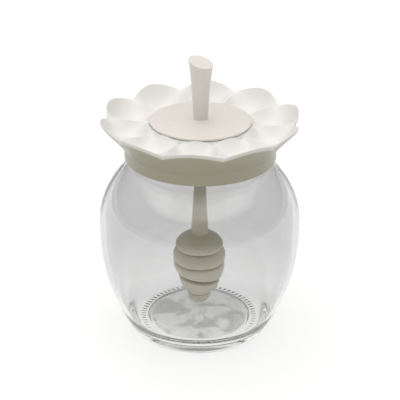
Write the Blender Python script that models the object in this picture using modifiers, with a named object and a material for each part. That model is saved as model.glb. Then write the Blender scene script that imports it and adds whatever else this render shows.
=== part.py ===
# Honey pot: a round glass jar, a flower-shaped lid with ten spoon-shaped petals, and a dipper
# whose disc rests on the lid with its stem above and its ringed head hanging in the jar.
# Units are metres, +Z is up, and the origin is the centre of the jar's foot.

import math

import bmesh
import bpy

MM = 0.001
GAP = 0.3 * MM  # clearance between pieces that touch

# Glass jar
BELLY_RADIUS = 52.5 * MM
BELLY_HEIGHT = 59.4 * MM
LOWER_PULL_IN = 0.326  # share of the radius lost from the belly down to the foot
LOWER_POWER = 2.23
UPPER_PULL_IN = 0.2617  # share of the radius lost over UPPER_SPAN above the belly
UPPER_SPAN = 32.7 * MM
UPPER_POWER = 2.3
HEEL_HEIGHT = 4.2 * MM  # where the heel's rounding meets the body
HEEL_PULL_IN = 2.5 * MM
FOOT_OUTER = 33.0 * MM
FOOT_INNER = 29.6 * MM
PUSH_UP_RADIUS = 25.6 * MM
PUSH_UP_EDGE = 1.5 * MM
PUSH_UP_CENTRE = 2.3 * MM
NECK_RADIUS = 35.0 * MM
NECK_START = 95.7 * MM
BEAD_RADIUS = 36.3 * MM  # sealing bead round the mouth
WALL = 2.7 * MM
FLOOR_HEIGHT = 6.2 * MM
FLOOR_RADIUS = 26.0 * MM
FLOOR_CORNER_HEIGHT = 14.0 * MM
FLOOR_CORNER_PULL = 4.0 * MM
JAR_STEPS = 56

# Flower lid
PETALS = 10
PETAL_STEPS = 10
FIRST_CREASE = math.radians(-4.6)
DECK_HEIGHT = 109.3 * MM  # flat underside that sits on the jar's mouth
HOLE_RADIUS = 17.0 * MM
LAND_RADIUS = 25.9 * MM  # the flat that the dipper's disc rests on
LAND_HEIGHT = 116.0 * MM
LIP_RADIUS = 26.6 * MM  # the petals' inner lips, which hug the disc
LIP_HEIGHT = 116.9 * MM
RECESS_RADIUS = 25.4 * MM  # hollow under the land, inside the deck
CREASE_DROP = 2.5 * MM  # how far the lips fall towards each crease
NOTCH_RADIUS = 47.2 * MM
NOTCH_HEIGHT = 116.4 * MM
TIP_REACH = 4.05 * MM  # how far a petal's tip stands out past its notches
TIP_RISE = 4.4 * MM
TIP_ROUNDNESS = 1.75
SPOON_DEPTH = 9.1 * MM
SPOON_ROUNDNESS = 2.2
FLOOR_THICKNESS = 2.2 * MM
RIM_THICKNESS = 2.3 * MM
UNDER_CORNER = (40.6 * MM, 107.2 * MM)  # the smooth underside bends towards this place
UNDER_FOOT = 103.8 * MM  # where the underside runs into the collar
UNDER_POINTS = 7
COLLAR_RADIUS = 38.9 * MM
COLLAR_INNER = 36.9 * MM
COLLAR_BOTTOM = 98.1 * MM
COLLAR_ROUNDING = 0.8 * MM
SPOON_RINGS = (0.0, 0.07, 0.16, 0.28, 0.42, 0.56, 0.69, 0.80, 0.89, 0.96, 1.0)

# Dipper
DISC_RADIUS = 26.1 * MM
DISC_BOTTOM = 116.3 * MM
DISC_EDGE_TOP = 117.6 * MM
DISC_CENTRE_TOP = 118.1 * MM
SPIGOT_RADIUS = 16.6 * MM  # low step under the disc that centres it in the lid's hole
SPIGOT_BOTTOM = 114.2 * MM
STEM_START = 118.6 * MM
STEM_FOOT_RADIUS = 3.75 * MM
STEM_SPREAD = 1.61 * MM  # even widening up to the top
STEM_FLARE = 1.5 * MM  # further widening, mostly near the top
STEM_BLANK_TOP = 152.0 * MM
STEM_CUT_HEIGHT = 148.2 * MM
STEM_CUT_SLOPE_X = -0.25
STEM_CUT_SLOPE_Y = 0.17
SHAFT_RADIUS = 3.25 * MM
SHAFT_LOW_RADIUS = 4.45 * MM
SHAFT_SWELL_TOP = 80.0 * MM
SHAFT_SWELL_BOTTOM = 57.0 * MM
TIP_BOTTOM = 13.7 * MM
GROOVE_RADIUS = 8.0 * MM
GROOVE_FILLET = 0.1 * MM
RING_EDGE = 0.3 * MM  # softening of a ring's lower edge
SLANT_SLOPE = 0.12  # the lowest groove falls towards +X
SLANT_CENTRE = 28.0 * MM
SLANT_REACH = 8.5 * MM
DIPPER_STEPS = 32

CREAM = (0.80, 0.77, 0.70, 1.0)
WARM_CREAM = (0.79, 0.75, 0.68, 1.0)
CLEAR = (0.93, 0.95, 0.94, 1.0)


def clear_scene():
    for thing in list(bpy.data.objects):
        bpy.data.objects.remove(thing, do_unlink=True)


def make_collection(name):
    collection = bpy.data.collections.new(name)
    bpy.context.scene.collection.children.link(collection)
    return collection


def make_material(name, colour, roughness, see_through=0.0):
    material = bpy.data.materials.new(name)
    material.use_nodes = True
    shader = material.node_tree.nodes["Principled BSDF"]
    shader.inputs["Base Color"].default_value = colour
    shader.inputs["Roughness"].default_value = roughness
    shader.inputs["Metallic"].default_value = 0.0
    shader.inputs["Transmission Weight"].default_value = see_through
    material.diffuse_color = colour
    return material


def add_object(name, mesh, material, collection):
    thing = bpy.data.objects.new(name, mesh)
    collection.objects.link(thing)
    mesh.materials.append(material)
    mesh.shade_smooth()
    mesh.set_sharp_from_angle(angle=math.radians(40))
    return thing


def body_radius(height):
    """Outer radius of the jar's body at a height."""
    if height < BELLY_HEIGHT:
        drop = (BELLY_HEIGHT - height) / BELLY_HEIGHT
        return BELLY_RADIUS * (1 - LOWER_PULL_IN * drop**LOWER_POWER)
    rise = (height - BELLY_HEIGHT) / UPPER_SPAN
    return BELLY_RADIUS * (1 - UPPER_PULL_IN * rise**UPPER_POWER)


def spread(low, high, count):
    """Evenly spaced values from low to high, both included."""
    return [low + (high - low) * i / (count - 1) for i in range(count)]


def rounded_corner(start, corner, end, count):
    """Points on a curve that leaves start towards corner and reaches end coming from corner."""
    points = []
    for t in spread(0.0, 1.0, count):
        weights = ((1 - t) ** 2, 2 * t * (1 - t), t**2)
        points.append(tuple(sum(w * p[i] for w, p in zip(weights, (start, corner, end))) for i in (0, 1)))
    return points


def jar_profile():
    """From the middle of the floor up the inside, over the mouth and down the outside."""
    mouth_top = DECK_HEIGHT - GAP
    corner_top = (body_radius(FLOOR_CORNER_HEIGHT) - WALL, FLOOR_CORNER_HEIGHT)
    corner = (corner_top[0] - FLOOR_CORNER_PULL, FLOOR_HEIGHT)
    points = [(0.0, FLOOR_HEIGHT), (FLOOR_RADIUS * 0.5, FLOOR_HEIGHT)]
    points += rounded_corner((FLOOR_RADIUS, FLOOR_HEIGHT), corner, corner_top, 6)
    for height in spread(FLOOR_CORNER_HEIGHT, 92.0 * MM, 11)[1:]:
        points.append((body_radius(height) - WALL, height))
    points.append((NECK_RADIUS - WALL, NECK_START))
    points.append((NECK_RADIUS - WALL, mouth_top - 1.0 * MM))
    points.append((NECK_RADIUS - WALL * 0.6, mouth_top))
    points.append((BEAD_RADIUS - 0.8 * MM, mouth_top))
    points.append((BEAD_RADIUS, mouth_top - 0.8 * MM))
    points.append((BEAD_RADIUS, mouth_top - 2.6 * MM))
    points.append((NECK_RADIUS, mouth_top - 3.6 * MM))
    points.append((NECK_RADIUS, NECK_START + 0.6 * MM))
    for height in spread(94.6 * MM, BELLY_HEIGHT, 8):
        points.append((body_radius(height), height))
    for height in spread(BELLY_HEIGHT, HEEL_HEIGHT, 8)[1:]:
        points.append((body_radius(height), height))
    heel = points[-1]
    points += rounded_corner(heel, (heel[0] - HEEL_PULL_IN, 0.0), (FOOT_OUTER, 0.0), 5)[1:]
    points.append((FOOT_INNER, 0.0))
    points.append((PUSH_UP_RADIUS, PUSH_UP_EDGE))
    points.append((PUSH_UP_RADIUS * 0.5, PUSH_UP_CENTRE * 0.9))
    points.append((0.0, PUSH_UP_CENTRE))
    return points


def stem_profile():
    """Outside of the stem from its flared top down to the disc, a gentle inward curve."""
    points = []
    for share in spread(1.0, 0.0, 7):
        height = STEM_START + (STEM_BLANK_TOP - STEM_START) * share
        points.append((STEM_FOOT_RADIUS + STEM_SPREAD * share + STEM_FLARE * share**3, height))
    return points


def disc_profile():
    return [
        (STEM_FOOT_RADIUS + 0.9 * MM, DISC_CENTRE_TOP),
        (DISC_RADIUS - 0.8 * MM, DISC_EDGE_TOP),
        (DISC_RADIUS - 0.15 * MM, DISC_EDGE_TOP - 0.3 * MM),
        (DISC_RADIUS, DISC_EDGE_TOP - 0.7 * MM),
        (DISC_RADIUS - 0.4 * MM, DISC_BOTTOM),
        (SPIGOT_RADIUS, DISC_BOTTOM),
        (SPIGOT_RADIUS - 0.3 * MM, SPIGOT_BOTTOM),
        (SHAFT_RADIUS + 2.4 * MM, SPIGOT_BOTTOM),
        (SHAFT_RADIUS + 0.5 * MM, SPIGOT_BOTTOM - 1.6 * MM),
    ]


def shaft_profile():
    points = [(SHAFT_RADIUS, 100.0 * MM), (SHAFT_RADIUS, SHAFT_SWELL_TOP)]
    for share in spread(0.33, 1.0, 3):
        radius = SHAFT_RADIUS + (SHAFT_LOW_RADIUS - SHAFT_RADIUS) * share
        points.append((radius, SHAFT_SWELL_TOP + (SHAFT_SWELL_BOTTOM - SHAFT_SWELL_TOP) * share))
    return points


def ring(top, shoulder, widest, bottom):
    """One ring of the head between two grooves: its top edge and shoulder, widest place and crisp
    lower edge, each a radius and a height in millimetres."""
    top, shoulder, widest, bottom = ((r * MM, z * MM) for r, z in (top, shoulder, widest, bottom))
    return [
        (GROOVE_RADIUS, top[1] + GROOVE_FILLET),
        top,
        shoulder,
        widest,
        (bottom[0], bottom[1] + RING_EDGE),
        (bottom[0] - RING_EDGE, bottom[1]),
        (GROOVE_RADIUS, bottom[1] - GROOVE_FILLET),
    ]


def head_profile():
    """The ringed head: an onion-shaped shoulder, three rings and a button tip."""
    shoulder = [
        (4.5 * MM, 53.4 * MM),
        (5.2 * MM, 52.7 * MM),
        (7.8 * MM, 51.7 * MM),
        (10.4 * MM, 50.0 * MM),
        (12.3 * MM, 47.9 * MM),
        (12.8 * MM, 46.7 * MM),
        (12.6 * MM, 45.8 * MM),
        (GROOVE_RADIUS, 45.7 * MM),
    ]
    first = ring((11.6, 43.6), (13.3, 42.6), (14.2, 40.9), (14.2, 38.8))
    second = ring((12.9, 37.2), (13.6, 36.5), (13.8, 34.7), (12.5, 30.8))
    third = ring((10.8, 28.1), (11.2, 27.5), (10.0, 23.2), (6.4, 18.8))[:5]
    tip = [
        (5.5 * MM, 18.8 * MM),
        (6.1 * MM, 18.3 * MM),
        (6.3 * MM, 16.7 * MM),
        (5.0 * MM, TIP_BOTTOM + 0.5 * MM),
        (3.0 * MM, TIP_BOTTOM),
        (0.0, TIP_BOTTOM),
    ]
    return shoulder + first + second + third + tip


def slanted(point):
    """Height after the lowest groove is tilted, fading out above and below it."""
    nearness = 1 - abs(point.z - SLANT_CENTRE) / SLANT_REACH
    if nearness <= 0:
        return point.z
    return point.z - SLANT_SLOPE * point.x * min(1.0, nearness * 1.6)


def turned_mesh(name, profile, steps, collection):
    """Mesh of a profile swept once round the Z axis."""
    mesh = bpy.data.meshes.new(name)
    mesh.from_pydata([(r, 0.0, z) for r, z in profile], [(i, i + 1) for i in range(len(profile) - 1)], [])
    blank = bpy.data.objects.new(name + "_blank", mesh)
    collection.objects.link(blank)
    screw = blank.modifiers.new("Turn", "SCREW")
    screw.axis = "Z"
    screw.angle = math.tau
    screw.steps = steps
    screw.render_steps = steps
    screw.use_merge_vertices = True
    screw.merge_threshold = 0.00001
    view = bpy.context.evaluated_depsgraph_get()
    turned = bpy.data.meshes.new_from_object(blank.evaluated_get(view))
    turned.name = name
    bpy.data.objects.remove(blank, do_unlink=True)
    bpy.data.meshes.remove(mesh)
    return turned


def across_petal(angle):
    """0 on a petal's middle line, 1 on the crease at either side of it."""
    share = ((angle - FIRST_CREASE) * PETALS / math.tau) % 1.0
    return abs(2 * share - 1)


def petal_edge(angle):
    """Radius and height of the petals' rim."""
    bulge = 1 - across_petal(angle) ** TIP_ROUNDNESS
    return NOTCH_RADIUS + TIP_REACH * bulge, NOTCH_HEIGHT + TIP_RISE * bulge


def petal_height(radius, angle):
    """Height of the petals' upper face: spoons that dip between ridged creases."""
    across = across_petal(angle)
    edge_radius, edge_height = petal_edge(angle)
    share = min(1.0, max(0.0, (radius - LIP_RADIUS) / (edge_radius - LIP_RADIUS)))
    lip_height = LIP_HEIGHT - CREASE_DROP * across**2
    ramp = lip_height + (edge_height - lip_height) * (1 - (1 - share) ** 2)
    hollow = 4 * share * (1 - share) * (1 - across**SPOON_ROUNDNESS)
    return ramp - SPOON_DEPTH * hollow


def lid_section(angle):
    """The lid's section at an angle, from the hole out along the top and back underneath."""
    edge_radius, edge_height = petal_edge(angle)
    points = [(HOLE_RADIUS, LAND_HEIGHT), (LAND_RADIUS, LAND_HEIGHT)]
    for share in SPOON_RINGS:
        radius = LIP_RADIUS + (edge_radius - LIP_RADIUS) * share
        points.append((radius, petal_height(radius, angle)))
    rim = (edge_radius - 0.2 * MM, edge_height - RIM_THICKNESS)
    points += rounded_corner(rim, UNDER_CORNER, (COLLAR_RADIUS, UNDER_FOOT), UNDER_POINTS)
    points.append((COLLAR_RADIUS - 0.2 * COLLAR_ROUNDING, COLLAR_BOTTOM + 0.4 * COLLAR_ROUNDING))
    points.append((COLLAR_RADIUS - COLLAR_ROUNDING, COLLAR_BOTTOM))
    points.append((COLLAR_INNER, COLLAR_BOTTOM))
    points.append((COLLAR_INNER, DECK_HEIGHT))
    points.append((RECESS_RADIUS, DECK_HEIGHT))
    points.append((RECESS_RADIUS, LAND_HEIGHT - FLOOR_THICKNESS))
    points.append((HOLE_RADIUS, LAND_HEIGHT - FLOOR_THICKNESS))
    return points


def lid_mesh():
    """The lid's sections joined all the way round, with one section on every crease."""
    shape = bmesh.new()
    count = PETALS * PETAL_STEPS
    sections = []
    for step in range(count):
        angle = FIRST_CREASE + math.tau * step / count
        places = [(r * math.cos(angle), r * math.sin(angle), z) for r, z in lid_section(angle)]
        sections.append([shape.verts.new(place) for place in places])
    size = len(sections[0])
    for here, there in zip(sections, sections[1:] + sections[:1]):
        for i in range(size):
            k = (i + 1) % size
            shape.faces.new((here[i], here[k], there[k], there[i]))
    mesh = bpy.data.meshes.new("lid")
    shape.to_mesh(mesh)
    shape.free()
    return mesh


def make_stem_cutter(collection):
    """A block whose underside is the plane of the stem's slanted cut."""
    size = 30 * MM
    bpy.ops.mesh.primitive_cube_add(size=size, location=(0, 0, 0))
    cutter = bpy.context.object
    cutter.name = "stem_cutter"
    for point in cutter.data.vertices:
        slope = STEM_CUT_SLOPE_X * point.co.x + STEM_CUT_SLOPE_Y * point.co.y
        point.co.z += size / 2 + STEM_CUT_HEIGHT + slope
    for owner in list(cutter.users_collection):
        owner.objects.unlink(cutter)
    collection.objects.link(cutter)
    cutter.hide_render = True
    cutter.display_type = "WIRE"
    return cutter


def make_jar(collection):
    mesh = turned_mesh("glass_jar", jar_profile(), JAR_STEPS, collection)
    material = make_material("clear_glass", CLEAR, 0.03, 1.0)
    return add_object("glass_jar", mesh, material, collection)


def make_lid(collection):
    return add_object("lid", lid_mesh(), make_material("cream_plastic", CREAM, 0.3), collection)


def make_dipper(collection, cutters):
    profile = [(0.0, STEM_BLANK_TOP)] + stem_profile() + disc_profile() + shaft_profile() + head_profile()
    mesh = turned_mesh("dipper", profile, DIPPER_STEPS, collection)
    for point in mesh.vertices:
        point.co.z = slanted(point.co)
    dipper = add_object("dipper", mesh, make_material("warm_plastic", WARM_CREAM, 0.3), collection)
    cut = dipper.modifiers.new("Slanted top", "BOOLEAN")
    cut.operation = "DIFFERENCE"
    cut.solver = "EXACT"
    cut.object = make_stem_cutter(cutters)
    return dipper


def main():
    clear_scene()
    parts = make_collection("honey_pot")
    cutters = make_collection("cutters")
    make_jar(parts)
    make_lid(parts)
    make_dipper(parts, cutters)


main()
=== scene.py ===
import math

import bmesh
import bpy
from mathutils import Matrix, Vector, noise


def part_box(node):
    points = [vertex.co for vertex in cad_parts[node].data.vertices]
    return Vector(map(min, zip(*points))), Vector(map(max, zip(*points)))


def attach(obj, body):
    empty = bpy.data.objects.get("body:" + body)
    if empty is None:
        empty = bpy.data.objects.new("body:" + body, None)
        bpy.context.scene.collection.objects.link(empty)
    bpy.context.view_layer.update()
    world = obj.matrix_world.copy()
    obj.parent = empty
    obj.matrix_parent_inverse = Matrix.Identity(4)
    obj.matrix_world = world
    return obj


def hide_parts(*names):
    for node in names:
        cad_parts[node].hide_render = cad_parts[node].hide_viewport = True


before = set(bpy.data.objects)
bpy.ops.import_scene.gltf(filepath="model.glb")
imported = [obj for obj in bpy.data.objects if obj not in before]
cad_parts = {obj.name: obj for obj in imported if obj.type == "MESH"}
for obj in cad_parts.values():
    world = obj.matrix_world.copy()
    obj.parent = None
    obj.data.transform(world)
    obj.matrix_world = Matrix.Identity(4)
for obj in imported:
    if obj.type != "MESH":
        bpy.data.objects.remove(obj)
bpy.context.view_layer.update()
mm = 0.001
print("frame loaded:", ", ".join(sorted(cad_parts)))


class Wire:
    # one output socket, so that node maths can be written as plain sums
    def __init__(self, board, socket):
        self.board = board
        self.socket = socket

    def out(self, name):
        return Wire(self.board, self.socket.node.outputs[name])

    def __add__(self, other):
        return self.board.maths("ADD", self, other)

    def __radd__(self, other):
        return self.board.maths("ADD", other, self)

    def __sub__(self, other):
        return self.board.maths("SUBTRACT", self, other)

    def __rsub__(self, other):
        return self.board.maths("SUBTRACT", other, self)

    def __mul__(self, other):
        return self.board.maths("MULTIPLY", self, other)

    def __rmul__(self, other):
        return self.board.maths("MULTIPLY", other, self)

    def __truediv__(self, other):
        return self.board.maths("DIVIDE", self, other)


class Board:
    # a node tree that is being wired
    def __init__(self, tree):
        self.tree = tree

    def add(self, kind, settings=None, values=None, out=0):
        node = self.tree.nodes.new(kind)
        for name, value in (settings or {}).items():
            setattr(node, name, value)
        for key, value in (values or {}).items():
            if isinstance(value, Wire):
                self.tree.links.new(value.socket, node.inputs[key])
            else:
                node.inputs[key].default_value = value
        return Wire(self, node.outputs[out]) if len(node.outputs) else None

    def maths(self, kind, *terms):
        return self.add("ShaderNodeMath", {"operation": kind}, dict(enumerate(terms)))

    def clamped(self, value, low, high):
        # 0 where the value is at low, 1 at high, smooth between
        return self.add(
            "ShaderNodeMapRange",
            {"interpolation_type": "SMOOTHSTEP"},
            {"Value": value, "From Min": low, "From Max": high, "To Min": 0.0, "To Max": 1.0},
        )

    def blend(self, share, first, second):
        return self.add(
            "ShaderNodeMix", {"data_type": "RGBA"}, {0: share, 6: first, 7: second}, 2
        )

    def speckle(self, places, scale, detail=2.0, warp=0.0):
        values = {"Vector": places, "Scale": scale, "Detail": detail, "Distortion": warp}
        return self.add("ShaderNodeTexNoise", {}, values)

    def bumped(self, height, strength, distance):
        values = {"Strength": strength, "Distance": distance, "Height": height}
        return self.add("ShaderNodeBump", {}, values)


def startMaterial(name):
    material = bpy.data.materials.new(name)
    material.use_nodes = True
    material.node_tree.nodes.clear()
    return material, Board(material.node_tree)


def endMaterial(board, values):
    surface = board.add("ShaderNodeBsdfPrincipled", {}, values)
    board.add("ShaderNodeOutputMaterial", {}, {"Surface": surface})


def colour(red, green, blue):
    return (red, green, blue, 1.0)


# Shapes shared by the pieces

def spread(low, high, count):
    return [low + (high - low) * i / (count - 1) for i in range(count)]


def bend(start, corner, end, count):
    # points on a curve from start to end that is pulled towards the corner
    places = []
    for t in spread(0.0, 1.0, count):
        parts = tuple(zip(((1 - t) ** 2, 2 * t * (1 - t), t**2), (start, corner, end)))
        places.append(tuple(sum(share * point[i] for share, point in parts) for i in (0, 1)))
    return places


def softened(corners, count=5):
    # an outline of (radius, height, rounding) with each corner rounded by that length
    places = []
    for i, (radius, height, rounding) in enumerate(corners):
        here = Vector((radius, height))
        if rounding <= 0 or i in (0, len(corners) - 1):
            places.append((radius, height))
            continue
        ends = []
        for other in (corners[i - 1], corners[i + 1]):
            away = Vector(other[:2]) - here
            ends.append(here + away.normalized() * min(rounding, away.length * 0.49))
        places += bend(tuple(ends[0]), (radius, height), tuple(ends[1]), count)
    return places


def flowing(points, count):
    # a smooth curve through the points
    places = []
    for i in range(len(points) - 1):
        around = [Vector(points[min(max(i + k, 0), len(points) - 1)]) for k in (-1, 0, 1, 2)]
        for step in range(count):
            t = step / count
            before, here, there, after = around
            place = 0.5 * (
                2 * here
                + (there - before) * t
                + (2 * before - 5 * here + 4 * there - after) * t**2
                + (3 * here - before - 3 * there + after) * t**3
            )
            places.append((place.x, place.y))
    places.append(tuple(points[-1]))
    return places


def turned(name, outline, steps, shaped=None, paintedShade=None):
    # an outline of (radius, height) in mm turned round the Z axis, closed at its poles
    shape = bmesh.new()
    paintedShadeShare = shape.verts.layers.float.new("paintedShadeShare")
    rings = []
    for radius, height in outline:
        if radius < 1e-6:
            rings.append([shape.verts.new((0.0, 0.0, height * mm))])
            continue
        ring = []
        for step in range(steps):
            angle = math.tau * step / steps
            place = Vector((radius * math.cos(angle), radius * math.sin(angle), height))
            if shaped:
                place = shaped(place)
            ring.append(shape.verts.new(place * mm))
            # each point gets its share of painted shade from the given function
            if paintedShade:
                ring[-1][paintedShadeShare] = paintedShade(radius, height)
        rings.append(ring)
    for here, there in zip(rings, rings[1:]):
        for step in range(steps):
            after = (step + 1) % steps
            if len(here) == 1:
                shape.faces.new((here[0], there[after], there[step]))
            elif len(there) == 1:
                shape.faces.new((here[step], here[after], there[0]))
            else:
                shape.faces.new((here[step], here[after], there[after], there[step]))
    return finishedMesh(name, shape)


def finishedMesh(name, shape):
    bmesh.ops.recalc_face_normals(shape, faces=shape.faces)
    mesh = bpy.data.meshes.new(name)
    shape.to_mesh(mesh)
    shape.free()
    mesh.shade_smooth()
    return mesh


def addPiece(name, mesh):
    piece = bpy.data.objects.new(name, mesh)
    bpy.context.scene.collection.objects.link(piece)
    return piece


def handOver(piece, node):
    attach(piece, "root")
    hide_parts(node)


class Maker(Board):
    # a geometry node tree with named inputs, run on a piece and made into a plain mesh
    def __init__(self, name):
        super().__init__(bpy.data.node_groups.new(name, "GeometryNodeTree"))
        kind = "NodeSocketGeometry"
        for side in ("INPUT", "OUTPUT"):
            self.tree.interface.new_socket("Geometry", in_out=side, socket_type=kind)
        self.values = {}
        self.start = self.add("NodeGroupInput")

    def takes(self, name, kind, value):
        kind = "NodeSocket" + kind
        made = self.tree.interface.new_socket(name, in_out="INPUT", socket_type=kind)
        self.values[made.identifier] = value
        return Wire(self, self.start.socket.node.outputs[name])

    def ends(self, shape, material):
        whole = self.add("GeometryNodeRealizeInstances", {}, {"Geometry": shape})
        values = {"Geometry": whole, "Distance": 0.001 * mm}
        welded = self.add("GeometryNodeMergeByDistance", {}, values)
        worn = self.add("GeometryNodeSetMaterial", {}, {"Geometry": welded, "Material": material})
        self.add("NodeGroupOutput", {}, {"Geometry": worn})

    def run(self, piece):
        modifier = piece.modifiers.new(self.tree.name, "NODES")
        modifier.node_group = self.tree
        for identifier, value in self.values.items():
            modifier[identifier] = value
        view = bpy.context.evaluated_depsgraph_get()
        made = bpy.data.meshes.new_from_object(piece.evaluated_get(view))
        piece.modifiers.remove(modifier)
        piece.data = made
        made.shade_smooth()
        return piece


# Camera

camera = {
    "target": (0.077, 0.0, 72.517),  # mm
    "distance": 650.0,
    "down": 25.498,  # degrees
    "roll": 0.515,
    "lens": 112.08,
    "sensor": 36.0,
    "clip": (0.05, 30.0),  # metres
}


def addCamera():
    down, roll = math.radians(camera["down"]), math.radians(camera["roll"])
    ahead = Vector((0.0, math.cos(down), -math.sin(down)))
    right = Vector((1.0, 0.0, 0.0))
    up = right.cross(ahead)
    right, up = (
        right * math.cos(roll) + up * math.sin(roll),
        up * math.cos(roll) - right * math.sin(roll),
    )
    data = bpy.data.cameras.new("camera")
    data.lens = camera["lens"]
    data.sensor_width = camera["sensor"]
    data.clip_start, data.clip_end = camera["clip"]
    eye = bpy.data.objects.new("camera", data)
    place = (Vector(camera["target"]) - ahead * camera["distance"]) * mm
    turn = Matrix((right, up, -ahead)).transposed()
    eye.matrix_world = Matrix.Translation(place) @ turn.to_4x4()
    bpy.context.scene.collection.objects.link(eye)
    bpy.context.scene.camera = eye


addCamera()
print("camera placed")


# Glass jar

jar = {
    "belly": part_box("glass_jar")[1].x / mm,
    "bellyHeight": 59.4,
    "lowerPull": 0.326,  # share of the radius lost from the belly down to the foot
    "lowerPower": 2.23,
    "upperPull": 0.2617,
    "upperSpan": 32.7,
    "upperPower": 2.3,
    "heel": 4.2,
    "heelPull": 2.5,
    "footOuter": 33.0,
    "footInner": 29.6,
    "footLift": 0.34,  # the ribs of the foot reach this far down to the floor
    "pushUp": 25.6,
    "pushUpEdge": 1.5,
    "pushUpCentre": 2.3,
    "shoulderEnd": 92.0,  # where the inner wall starts to turn up into the neck
    "neck": 35.0,
    "neckBend": 93.6,
    "neckStart": 95.7,
    "neckFoot": (94.6, 95.4),  # top of the body and foot of the neck, outside
    "bead": 36.3,
    "beadHeights": (3.1, 3.4),  # its lower edge and its root, below the mouth
    "beadRounding": (0.8, 0.9, 0.5),  # at the mouth, the lower edge and the root
    "mouth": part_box("glass_jar")[1].z / mm,
    "wall": 2.7,
    "floor": 6.2,
    "floorRadius": 26.0,
    "cornerHeight": 14.0,
    "cornerPull": 4.0,
    "footSlope": ((28.0, 0.34), (27.3, 0.9), (26.6, 1.5)),  # from the foot ring up to the push-up
    "unevenness": 0.16,  # how far the inner wall wanders
    "unevenFrom": 16.0,
    "unevenFade": 12.0,
    "unevenGrain": (26.0, 26.0, 40.0),
    "steps": 432,
    "ribs": 72,
    "ribHeight": 0.32,
    "ribSides": (0.72, 0.18),  # where a rib rises and where it is full, from its middle line
    "ribEnds": (1.0, 0.62),  # the same along the rib
}

glassLook = {
    "tint": colour(0.735, 0.736, 0.738),
    "paintedLightTint": colour(0.99, 0.995, 0.99),
    "tintFade": (40.0, 7.0),  # mm, heights between which the less tinted bottom takes over, painted light
    "frost": colour(0.96, 0.96, 0.95),
    "frostBelow": (4.0, 2.6),  # mm, the frost lies under the push-up
    "frostWithin": (27.2, 24.8),  # mm, radii at which it starts and is full
    "frostShare": (0.40, 0.36),  # everywhere, and more in its patches
    "frostPatches": (0.42, 0.62),  # where the pattern turns from thin to thick
    "frostRough": (0.55, 0.20),  # its mean and its spread
    "patchScale": 90.0,
    "waveScale": 22.0,
    "mouldScale": 320.0,
    "wave": 0.06,
    "rough": 0.004,
    "floorRoughness": 0.22,
    "index": 1.5,
}


def bodyRadius(height):
    if height < jar["bellyHeight"]:
        drop = (jar["bellyHeight"] - height) / jar["bellyHeight"]
        return jar["belly"] * (1 - jar["lowerPull"] * drop ** jar["lowerPower"])
    rise = (height - jar["bellyHeight"]) / jar["upperSpan"]
    return jar["belly"] * (1 - jar["upperPull"] * rise ** jar["upperPower"])


def jarOutline():
    # from the middle of the floor up the inside, over the mouth and down the outside
    wall, mouth, neck, bead = jar["wall"], jar["mouth"], jar["neck"], jar["bead"]
    cornerTop = (bodyRadius(jar["cornerHeight"]) - wall, jar["cornerHeight"])
    places = [(radius, jar["floor"]) for radius in spread(0.0, jar["floorRadius"], 7)]
    places += bend(places[-1], (cornerTop[0] - jar["cornerPull"], jar["floor"]), cornerTop, 14)[1:]
    heights = spread(jar["cornerHeight"], jar["shoulderEnd"], 34)[1:]
    places += [(bodyRadius(height) - wall, height) for height in heights]
    inside = (neck - wall, jar["neckStart"])
    places += bend(places[-1], (neck - wall, jar["neckBend"]), inside, 5)[1:]
    (bodyTop, neckFoot), (beadEdge, beadRoot) = jar["neckFoot"], jar["beadHeights"]
    atMouth, atEdge, atRoot = jar["beadRounding"]
    places += softened(
        [
            (neck - wall, jar["neckStart"], 0.0),
            (neck - wall, mouth, atMouth),
            (bead, mouth, atMouth),
            (bead, mouth - beadEdge, atEdge),
            (neck, mouth - beadRoot, atRoot),
            (neck, neckFoot, 0.0),
        ]
    )[1:]
    places += [(bodyRadius(height), height) for height in spread(bodyTop, jar["heel"], 60)]
    heel, lift = places[-1], jar["footLift"]
    places += bend(heel, (heel[0] - jar["heelPull"], lift), (jar["footOuter"] + 0.2, lift), 14)[1:]
    places += [(radius, lift) for radius in spread(jar["footOuter"], jar["footInner"], 13)]
    leaving, halfway, arriving = jar["footSlope"]
    places += bend((jar["footInner"] - 0.2, lift), leaving, halfway, 5)
    places += bend(halfway, arriving, (jar["pushUp"], jar["pushUpEdge"]), 5)[1:]
    for share in spread(1.0, 0.0, 9)[1:]:
        rise = (jar["pushUpCentre"] - jar["pushUpEdge"]) * (1 - share**2)
        places.append((jar["pushUp"] * share, jar["pushUpEdge"] + rise))
    return places


def unevenGlass(place):
    # the inner wall isn't quite true, as in pressed glass
    radius = math.hypot(place.x, place.y)
    above, below = place.z - jar["unevenFrom"], jar["shoulderEnd"] - place.z
    if radius >= bodyRadius(place.z) - jar["wall"] * 0.6 or above <= 0 or below <= 0:
        return place
    fade = min(1.0, above / jar["unevenFade"], below / jar["unevenFade"])
    drift = noise.noise(Vector(along / grain for along, grain in zip(place, jar["unevenGrain"])))
    outward = 1 + drift * jar["unevenness"] * fade / radius
    return Vector((place.x * outward, place.y * outward, place.z))


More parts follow.
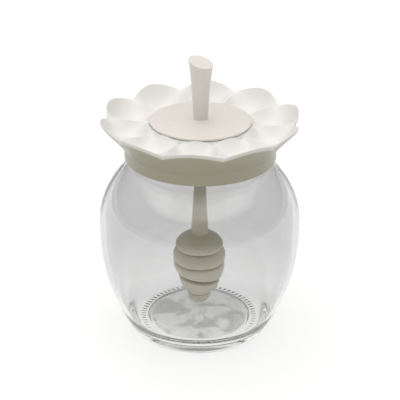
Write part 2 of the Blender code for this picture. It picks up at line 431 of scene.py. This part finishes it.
def footRibs(material):
    # short radial ribs all round the ring that the jar stands on
    maker = Maker("footRibs")
    count = maker.takes("Ribs", "Float", float(jar["ribs"]))
    height = maker.takes("Height", "Float", jar["ribHeight"] * mm)
    outer = maker.takes("Outer radius", "Float", jar["footOuter"] * mm)
    inner = maker.takes("Inner radius", "Float", jar["footInner"] * mm)
    place = maker.add("ShaderNodeSeparateXYZ", {}, {0: maker.add("GeometryNodeInputPosition")})
    across, along, level = place, place.out("Y"), place.out("Z")
    radius = maker.maths("SQRT", across * across + along * along)
    turn = maker.maths("ARCTAN2", along, across) * count / math.tau
    beside = maker.maths("ABSOLUTE", maker.maths("FRACT", turn) - 0.5) * 2
    ridge = maker.clamped(beside, *jar["ribSides"])
    middle, half = (outer + inner) / 2, (outer - inner) / 2
    reach = maker.clamped(maker.maths("ABSOLUTE", radius - middle) / half, *jar["ribEnds"])
    underneath = maker.maths("LESS_THAN", level, 0.5 * mm)
    down = maker.add("ShaderNodeCombineXYZ", {}, {"Z": ridge * reach * underneath * height * -1})
    shape = maker.add("GeometryNodeSetPosition", {}, {"Geometry": maker.start, "Offset": down})
    maker.ends(shape, material)
    return maker


def clearGlass():
    material, board = startMaterial("clearGlass")
    places = board.add("ShaderNodeTexCoord", out="Object")
    parts = board.add("ShaderNodeSeparateXYZ", {}, {0: places})
    across, along, level = parts, parts.out("Y"), parts.out("Z")
    radius = board.maths("SQRT", across * across + along * along)
    # painted light: the lower glass is tinted less than the wall so that the bottom reads brighter,
    # and the underside of the push-up is frosted in patches
    paintedLightShare = board.clamped(level, *(height * mm for height in glassLook["tintFade"]))
    low = board.clamped(level, *(height * mm for height in glassLook["frostBelow"]))
    dull = board.clamped(radius, *(edge * mm for edge in glassLook["frostWithin"])) * low
    patches = board.speckle(places, glassLook["patchScale"], 3.0, 0.8)
    wave = board.speckle(places, glassLook["waveScale"], 1.0)
    mould = board.speckle(places, glassLook["mouldScale"], 3.0)
    height = wave * (1 - dull) + (patches + mould * 0.4) * dull
    bumps = board.bumped(height, glassLook["wave"], 1.0 * mm)
    clear = board.add(
        "ShaderNodeBsdfPrincipled",
        {},
        {
            "Base Color": board.blend(paintedLightShare, glassLook["tint"], glassLook["paintedLightTint"]),
            "Roughness": dull * patches * glassLook["floorRoughness"] + glassLook["rough"],
            "Normal": bumps,
            "Transmission Weight": 1.0,
            "IOR": glassLook["index"],
        },
    )
    even, spreading = glassLook["frostRough"]
    frosted = board.add(
        "ShaderNodeBsdfPrincipled",
        {},
        {
            "Base Color": board.blend(mould * 0.25, glassLook["frost"], glassLook["paintedLightTint"]),
            "Roughness": even + (mould - 0.5) * spreading,
            "Normal": bumps,
        },
    )
    thin, more = glassLook["frostShare"]
    share = dull * (thin + board.clamped(patches, *glassLook["frostPatches"]) * more)
    surface = board.add("ShaderNodeMixShader", {}, {0: share, 1: clear, 2: frosted})
    board.add("ShaderNodeOutputMaterial", {}, {"Surface": surface})
    return material


glass = clearGlass()
glassJar = addPiece("glassJar", turned("glassJar", jarOutline(), jar["steps"], unevenGlass))
footRibs(glass).run(glassJar)
handOver(glassJar, "glass_jar")
print("glass jar:", len(glassJar.data.polygons), "faces")


# Moulded plastic

plasticGrain = {
    "cloudScale": 38.0,
    "cloudShare": 0.06,  # how much of the painted-shade tone the clouds bring in, at random
    "flowScale": 160.0,
    "flowRoughness": 0.10,
    "flowHeight": 0.06,  # mm
    "grainScale": 1500.0,
    "grainRoughness": 0.06,
}

plasticLook = {
    "lid": {
        "light": colour(0.825, 0.815, 0.79),
        "low": colour(0.825, 0.815, 0.79),
        "paintedShade": colour(0.36, 0.345, 0.25),  # painted shade underneath the petals and on the collar
        "split": (104.0, 114.0),  # mm, heights between which the tone changes
        "rough": 0.32,
    },
    "dipper": {
        "light": colour(0.79, 0.76, 0.71),
        # painted light: the low tone makes the part inside the jar lighter and yellower than the
        # stem above
        "low": colour(0.98, 0.925, 0.74),
        "paintedShade": colour(0.36, 0.27, 0.15),  # painted shade in the grooves
        "split": (96.0, 114.0),
        "rough": 0.3,
    },
}


def creamPlastic(name, look):
    material, board = startMaterial(name)
    places = board.add("ShaderNodeTexCoord", out="Object")
    level = board.add("ShaderNodeSeparateXYZ", {}, {0: places}).out("Z")
    paintedShadeShare = board.add("ShaderNodeAttribute", {"attribute_name": "paintedShadeShare"}, out="Fac")
    cloud = board.speckle(places, plasticGrain["cloudScale"], 3.0, 0.4)
    grain = board.speckle(places, plasticGrain["grainScale"], 2.0)
    flow = board.speckle(places, plasticGrain["flowScale"], 2.0, 1.2)
    # below the split heights the low tone is used, painted light on the dipper; on the lid it is
    # the same as the light tone
    raised = board.clamped(level, *(height * mm for height in look["split"]))
    tone = board.blend(raised, look["low"], look["light"])
    # painted shade: the darker tone goes where the shade attribute asks, under the lid and in the
    # dipper's grooves
    tone = board.blend(board.clamped(paintedShadeShare, 0.0, 1.0), tone, look["paintedShade"])
    streaky = (flow - 0.5) * plasticGrain["flowRoughness"]
    grainy = (grain - 0.5) * plasticGrain["grainRoughness"]
    values = {
        "Base Color": board.blend(cloud * plasticGrain["cloudShare"], tone, look["paintedShade"]),
        "Roughness": look["rough"] + streaky + grainy,
        "Normal": board.bumped(flow, 0.10, plasticGrain["flowHeight"] * mm),
        "IOR": 1.49,
        "Subsurface Weight": 0.12,
        "Subsurface Radius": (1.0, 0.85, 0.6),
        "Subsurface Scale": 0.0012,
    }
    endMaterial(board, values)
    return material


# Flower lid

lid = {
    "petals": 10,
    "halfSteps": 20,
    "firstCrease": math.radians(-4.6),
    "deck": 109.3,
    "recess": 25.4,  # the hollow under the land, inside the deck
    "hole": 17.0,
    "holeRounding": 0.6,
    "land": 25.9,  # the flat that the dipper's disc rests on
    "landHeight": 116.0,
    "lip": 26.6,  # the petals' inner lips hug the disc
    "lipHeight": 116.9,
    "creaseDrop": 2.5,
    "notch": 47.2,
    "notchHeight": 116.4,
    "tipReach": 4.05,
    "tipRise": 4.4,
    "tipRoundness": 1.75,
    "spoonDepth": 9.1,
    "spoonRoundness": 2.2,
    "rimThickness": 2.3,
    "floorThickness": 2.2,
    "coneCorner": (40.6, 107.2),  # the smooth underside bends towards this on its way to the collar
    "coneFoot": 103.8,
    "collar": 38.9,
    "collarInner": 36.9,
    "collarBottom": 98.1,
    "ridgeSoftness": 0.02,
    "rimRounding": 0.75,
    # how much painted shade lies down the rim's outer face, 1 underneath
    "rimShadeShares": (0.0, 0.15, 0.3, 0.4, 0.45, 0.6, 0.85, 1.0),
    "rows": 44,
    "rowCrowding": 0.75,  # how much closer the rows are at the lip and the rim
    "columnCrowding": 1.6,  # how much closer the columns are at the creases
}


def petalEdge(across):
    # radius and height of the rim: across is 0 on a petal's middle line and 1 on a crease
    bulge = 1 - across ** lid["tipRoundness"]
    return lid["notch"] + lid["tipReach"] * bulge, lid["notchHeight"] + lid["tipRise"] * bulge


def petalHeight(radius, across):
    edgeRadius, edgeHeight = petalEdge(across)
    share = min(1.0, max(0.0, (radius - lid["lip"]) / (edgeRadius - lid["lip"])))
    lipHeight = lid["lipHeight"] - lid["creaseDrop"] * across**2
    ramp = lipHeight + (edgeHeight - lipHeight) * (1 - (1 - share) ** 2)
    away = 1 - across
    away = math.hypot(away, lid["ridgeSoftness"]) - lid["ridgeSoftness"]
    across = 1 - away
    hollow = 4 * share * (1 - share) * (1 - across ** lid["spoonRoundness"])
    return ramp - lid["spoonDepth"] * hollow


def lidSection(across):
    # from the hole out along the top, round the rim and back underneath
    edgeRadius, edgeHeight = petalEdge(across)
    reach = edgeRadius - lid["lip"]
    rounding, top = lid["rimRounding"], lid["landHeight"]
    hole, soft = lid["hole"], lid["holeRounding"]
    places = bend((hole, top - soft), (hole, top), (hole + soft, top), 4)
    lip = (lid["lip"], petalHeight(lid["lip"], across))
    places += softened([(21.0, top, 0.0), (lid["land"], top, 0.4), (*lip, 0.0)], 4)[:-1]
    last = 1 - rounding / reach
    for share in spread(0.0, 1.0, lid["rows"]):
        share = last * (share - math.sin(math.tau * share) / math.tau * lid["rowCrowding"])
        radius = lid["lip"] + reach * share
        places.append((radius, petalHeight(radius, across)))
    places += bend(places[-1], (edgeRadius, edgeHeight), (edgeRadius, edgeHeight - rounding), 5)[1:]
    low = edgeHeight - lid["rimThickness"]
    above = len(places) - 3
    edgeFoot = (edgeRadius - 0.9, low - 0.8)
    places += bend((edgeRadius, low + rounding), (edgeRadius - 0.1, low), edgeFoot, 5)
    places += bend(places[-1], lid["coneCorner"], (lid["collar"], lid["coneFoot"]), 22)[1:]
    under = top - lid["floorThickness"]
    wall = softened(
        [
            (*places[-1], 0.0),
            (lid["collar"], lid["collarBottom"], 0.7),
            (lid["collarInner"], lid["collarBottom"], 0.4),
            (lid["collarInner"], lid["deck"], 0.5),
            (lid["recess"], lid["deck"], 0.3),
            (lid["recess"], under, 0.5),
            (hole, under, 0.4),
            (hole, top - soft, 0.0),
        ]
    )
    return places + wall[1:-1], above


def petalWedge():
    # one tenth of the lid, from crease to crease round the +X axis
    even = spread(0.0, 1.0, lid["halfSteps"] + 1)
    half = [1 - (1 - t) ** lid["columnCrowding"] for t in even]
    across = [-a for a in reversed(half)] + half[1:]
    shape = bmesh.new()
    paintedShadeShare = shape.verts.layers.float.new("paintedShadeShare")
    sections = []
    for a in across:
        angle = a * math.pi / lid["petals"]
        turn = Vector((math.cos(angle), math.sin(angle), 0.0))
        section, above = lidSection(abs(a))
        sections.append([shape.verts.new((turn * r + Vector((0, 0, z))) * mm) for r, z in section])
        for place, point in enumerate(sections[-1]):
            # the rim's outer face, the underside and the collar get painted shade
            point[paintedShadeShare] = lid["rimShadeShares"][min(max(place - above, 0), len(lid["rimShadeShares"]) - 1)]
    size = len(sections[0])
    for here, there in zip(sections, sections[1:]):
        for i in range(size):
            k = (i + 1) % size
            shape.faces.new((here[i], here[k], there[k], there[i]))
    bmesh.ops.recalc_face_normals(shape, faces=shape.faces)
    highest = max(shape.faces, key=lambda face: face.calc_center_median().z)
    if highest.normal.z < 0:
        bmesh.ops.reverse_faces(shape, faces=shape.faces)
    mesh = bpy.data.meshes.new("petalWedge")
    shape.to_mesh(mesh)
    shape.free()
    return mesh


def ringOfPetals(material):
    # the wedge repeated round the lid and welded on its creases
    maker = Maker("ringOfPetals")
    count = maker.takes("Petals", "Int", lid["petals"])
    first = maker.takes("First crease", "Float", lid["firstCrease"])
    spots = maker.add("GeometryNodePoints", {}, {"Count": count})
    number = maker.add("GeometryNodeInputIndex")
    angle = first + (number + 0.5) * math.tau / count
    turn = maker.add("ShaderNodeCombineXYZ", {}, {"Z": angle})
    values = {"Points": spots, "Instance": maker.start, "Rotation": turn}
    maker.ends(maker.add("GeometryNodeInstanceOnPoints", {}, values), material)
    return maker


lidPlastic = creamPlastic("lidPlastic", plasticLook["lid"])
flowerLid = addPiece("flowerLid", petalWedge())
ringOfPetals(lidPlastic).run(flowerLid)
handOver(flowerLid, "lid")
print("flower lid:", len(flowerLid.data.polygons), "faces")


# Honey dipper

dipper = {
    "disc": 26.1,
    "discBottom": 116.3,
    "discEdge": 117.6,
    "discCentre": 118.1,
    "spigot": 16.6,
    "spigotBottom": 114.2,
    "stemFoot": 3.75,
    "stemSpread": (1.61, 1.5),  # even and late widening up to the top
    "stemStart": 118.6,
    "stemBlank": 152.0,
    "cutHeight": 148.2,
    "cutSlope": (-0.25, 0.17),
    "cutRounding": 0.3,
    "shaft": 3.25,
    "shaftHeights": (100.0, 98.0, 80.0),
    "shaftLow": 4.45,
    "flare": 23.0,  # the shaft widens over this length, down to the shoulder
    "flarePower": 1.2,
    "shoulder": (
        (4.45, 55.0),
        (4.5, 53.5),
        (5.2, 52.7),
        (7.6, 51.8),
        (9.8, 50.4),
        (11.4, 49.0),
        (12.4, 47.7),
    ),
    "groove": 8.0,
    # height spans of the grooves, where shade is painted
    "grooves": ((43.5, 45.75), (37.0, 38.85), (28.2, 30.75), (18.5, 19.0)),
    "tip": 13.7,
    "slant": 0.12,
    "slantCentre": 28.0,
    "slantReach": 8.5,
    "slantEase": 1.6,
    "steps": 192,
}


def stemRadius(height):
    share = (height - dipper["stemStart"]) / (dipper["stemBlank"] - dipper["stemStart"])
    even, late = dipper["stemSpread"]
    return dipper["stemFoot"] + even * max(share, 0.0) + late * max(share, 0.0) ** 3


def slantedPlace(place):
    # leans the stem's top to its slanted cut, and the lowest groove towards +X
    if place.z > dipper["stemStart"]:
        share = (place.z - dipper["stemStart"]) / (dipper["cutHeight"] - dipper["stemStart"])
        flat = Vector((place.x, place.y, 0.0)) / stemRadius(place.z)
        slopeX, slopeY = dipper["cutSlope"]
        height = place.z
        for again in range(3):
            spot = flat * stemRadius(height)
            cut = dipper["cutHeight"] + spot.x * slopeX + spot.y * slopeY
            height = dipper["stemStart"] + (cut - dipper["stemStart"]) * share
        return spot + Vector((0, 0, height))
    near = 1 - abs(place.z - dipper["slantCentre"]) / dipper["slantReach"]
    if near > 0:
        place.z -= dipper["slant"] * place.x * min(1.0, near * dipper["slantEase"])
    return place


def dipperOutline():
    start, cut, foot = dipper["stemStart"], dipper["cutHeight"], dipper["stemFoot"]
    rounding, top = dipper["cutRounding"], stemRadius(cut)
    disc, centre, spigot = dipper["disc"], dipper["discCentre"], dipper["spigot"]
    shaft, (shaftTop, evenTop, evenEnd) = dipper["shaft"], dipper["shaftHeights"]
    under, spigotEnd = dipper["discBottom"], dipper["spigotBottom"]
    places = [(radius, cut) for radius in spread(0.0, top - rounding, 6)]
    places += bend(places[-1], (top, cut), (stemRadius(cut - rounding), cut - rounding), 6)[1:]
    places += [(stemRadius(height), height) for height in spread(cut - 1.0, start + 0.02, 30)]
    places += bend((foot, start), (foot, centre), (foot + 1.0, centre), 6)
    places += softened(
        [
            (foot + 1.1, centre, 0.0),
            (disc * 0.6, centre - 0.17, 4.0),
            (disc, dipper["discEdge"], 1.0),
            (disc - 0.4, under, 0.3),
            (spigot, under, 0.2),
            (spigot - 0.3, spigotEnd, 0.3),
            (shaft + 2.4, spigotEnd, 1.0),
            (shaft, spigotEnd - 1.9, 1.0),
            (shaft, shaftTop, 0.0),
        ],
        6,
    )
    places += [(shaft, height) for height in spread(evenTop, evenEnd, 6)]
    for share in spread(0.1, 1.0, 10):
        radius = shaft + (dipper["shaftLow"] - shaft) * share ** dipper["flarePower"]
        places.append((radius, evenEnd - dipper["flare"] * share))
    places += flowing(dipper["shoulder"], 5)
    return places + softened(ringCorners(), 6)


def ringCorners():
    # (radius, height, rounding) from under the shoulder down to the tip
    groove, tip = dipper["groove"], dipper["tip"]
    lip = [(12.7, 47.2, 0.3), (12.85, 46.6, 0.3), (12.7, 45.8, 0.25)]
    lip += [(groove + 0.6, 45.7, 0.5), (groove + 0.6, 44.5, 0.5)]
    upper = [(12.4, 43.4, 1.6), (14.2, 41.9, 1.6), (14.2, 38.9, 0.35)]
    upper += [(groove, 38.8, 0.5), (groove, 37.4, 0.5)]
    middle = [(13.6, 37.1, 1.0), (13.9, 34.8, 1.5), (12.5, 30.8, 0.35)]
    middle += [(groove, 30.7, 0.5), (groove, 28.6, 0.5)]
    lowest = [(11.3, 28.0, 0.7), (10.0, 22.9, 2.5), (6.4, 19.1, 0.4), (5.4, 18.9, 0.25)]
    button = [(6.1, 18.4, 0.3), (6.35, 16.6, 0.9)]
    button += [(4.8, tip + 0.3, 1.0), (2.4, tip, 1.0), (0.0, tip, 0.0)]
    return lip + upper + middle + lowest + button


def grooveShade(radius, height):
    # painted shade: 1 in the grooves, 0 elsewhere
    between = any(low < height < high for low, high in dipper["grooves"])
    return 1.0 if radius < dipper["groove"] + 1.5 and between else 0.0


dipperPlastic = creamPlastic("dipperPlastic", plasticLook["dipper"])
dipperMesh = turned("honeyDipper", dipperOutline(), dipper["steps"], slantedPlace, grooveShade)
honeyDipper = addPiece("honeyDipper", dipperMesh)
honeyDipper.data.materials.append(dipperPlastic)
handOver(honeyDipper, "dipper")
print("honey dipper:", len(honeyDipper.data.polygons), "faces")


# Floor and light

studio = {
    "floorTone": colour(0.25, 0.25, 0.25),
    "floorGlow": 0.78,  # the floor is a light table, softly lit from below
    "floorSize": 4.0,  # metres
    "floorGrain": 6.0,
    "floorDeeper": 0.985,  # the darker of its two tones, as a share of the other
    "floorRoughness": 0.75,
    "highAir": 1.15,  # brightness of the soft surround above
    "lowAir": 0.28,  # near the horizon behind and beside
    "frontAir": 0.19,  # and on the camera's side, which stays dim
    "strip": 0.75,  # a long bright strip high above the camera
    "airTint": colour(1.0, 0.985, 0.965),
    "leftMore": 0.10,  # the left is brighter than the right by this share
    "front": (0.12, -0.38),  # where the camera's side starts and where it is full
    "sides": (0.45, 0.75),  # the same for the left and the right
    "horizon": (0.34, 0.52),  # heights between which the low air turns into the high air
    "frontHorizon": (0.19, 0.11),  # how much higher they are on the camera's side
    "sideHorizon": (0.16, 0.12),  # and how much higher at the left and the right
    "stripHeights": (0.84, 0.78),
    "boxes": [
        # name, place, looks at, width and depth in metres, brightness, tint
        ("overhead", (-0.15, 0.20, 0.80), (0.0, 0.0, 0.1), (0.5, 0.5), 0.8, (1.0, 1.0, 1.0)),
    ],
}


def addFloor():
    material, board = startMaterial("paleFloor")
    places = board.add("ShaderNodeTexCoord", out="Object")
    soft = board.speckle(places, studio["floorGrain"], 2.0)
    deeper = tuple(value * studio["floorDeeper"] for value in studio["floorTone"][:3]) + (1.0,)
    tone = board.blend(soft, studio["floorTone"], deeper)
    values = {
        "Base Color": tone,
        "Roughness": studio["floorRoughness"],
        "Specular IOR Level": 0.2,
        "Emission Color": colour(1.0, 1.0, 1.0),
        "Emission Strength": studio["floorGlow"],
    }
    endMaterial(board, values)
    half = studio["floorSize"] / 2
    mesh = bpy.data.meshes.new("paleFloor")
    corners = [(-half, -half, 0), (half, -half, 0), (half, half, 0), (-half, half, 0)]
    mesh.from_pydata(corners, [], [(0, 1, 2, 3)])
    floor = addPiece("paleFloor", mesh)
    mesh.materials.append(material)


def addLight(name, place, target, size, brightness, tint):
    data = bpy.data.lights.new(name, "AREA")
    data.shape = "RECTANGLE"
    data.size, data.size_y = size
    data.energy = brightness * math.pi * size[0] * size[1]
    data.color = tint
    box = bpy.data.objects.new(name, data)
    box.location = place
    box.rotation_mode = "QUATERNION"
    box.rotation_quaternion = (Vector(target) - Vector(place)).to_track_quat("-Z", "Y")
    bpy.context.scene.collection.objects.link(box)


def addWorld():
    # soft air: bright above, dim near the horizon and dimmer behind the camera but for a high strip
    world = bpy.data.worlds.new("studioAir")
    world.use_nodes = True
    world.node_tree.nodes.clear()
    board = Board(world.node_tree)
    places = board.add("ShaderNodeTexCoord", out="Generated")
    across = board.add("ShaderNodeSeparateXYZ", {}, {0: places})
    along, level = across.out("Y"), across.out("Z")
    ahead = board.clamped(along, *studio["front"])
    low = studio["lowAir"] + (studio["frontAir"] - studio["lowAir"]) * ahead
    beside = board.clamped(board.maths("ABSOLUTE", across), *studio["sides"]) * (1 - ahead)
    rises = zip(studio["horizon"], studio["frontHorizon"], studio["sideHorizon"])
    edges = (back + ahead * front + beside * side for back, front, side in rises)
    high = board.clamped(level, *edges)
    air = low + (studio["highAir"] - low) * high
    strip = high * board.clamped(level, *studio["stripHeights"]) * ahead
    lit = (air + strip * studio["strip"]) * (1 - across * studio["leftMore"])
    sky = board.add("ShaderNodeBackground", {}, {"Color": studio["airTint"], "Strength": lit})
    board.add("ShaderNodeOutputWorld", {}, {"Surface": sky})
    bpy.context.scene.world = world
    bpy.context.scene.view_settings.view_transform = "Standard"


addFloor()
for box in studio["boxes"]:
    addLight(*box)
addWorld()
print("floor and lights placed")
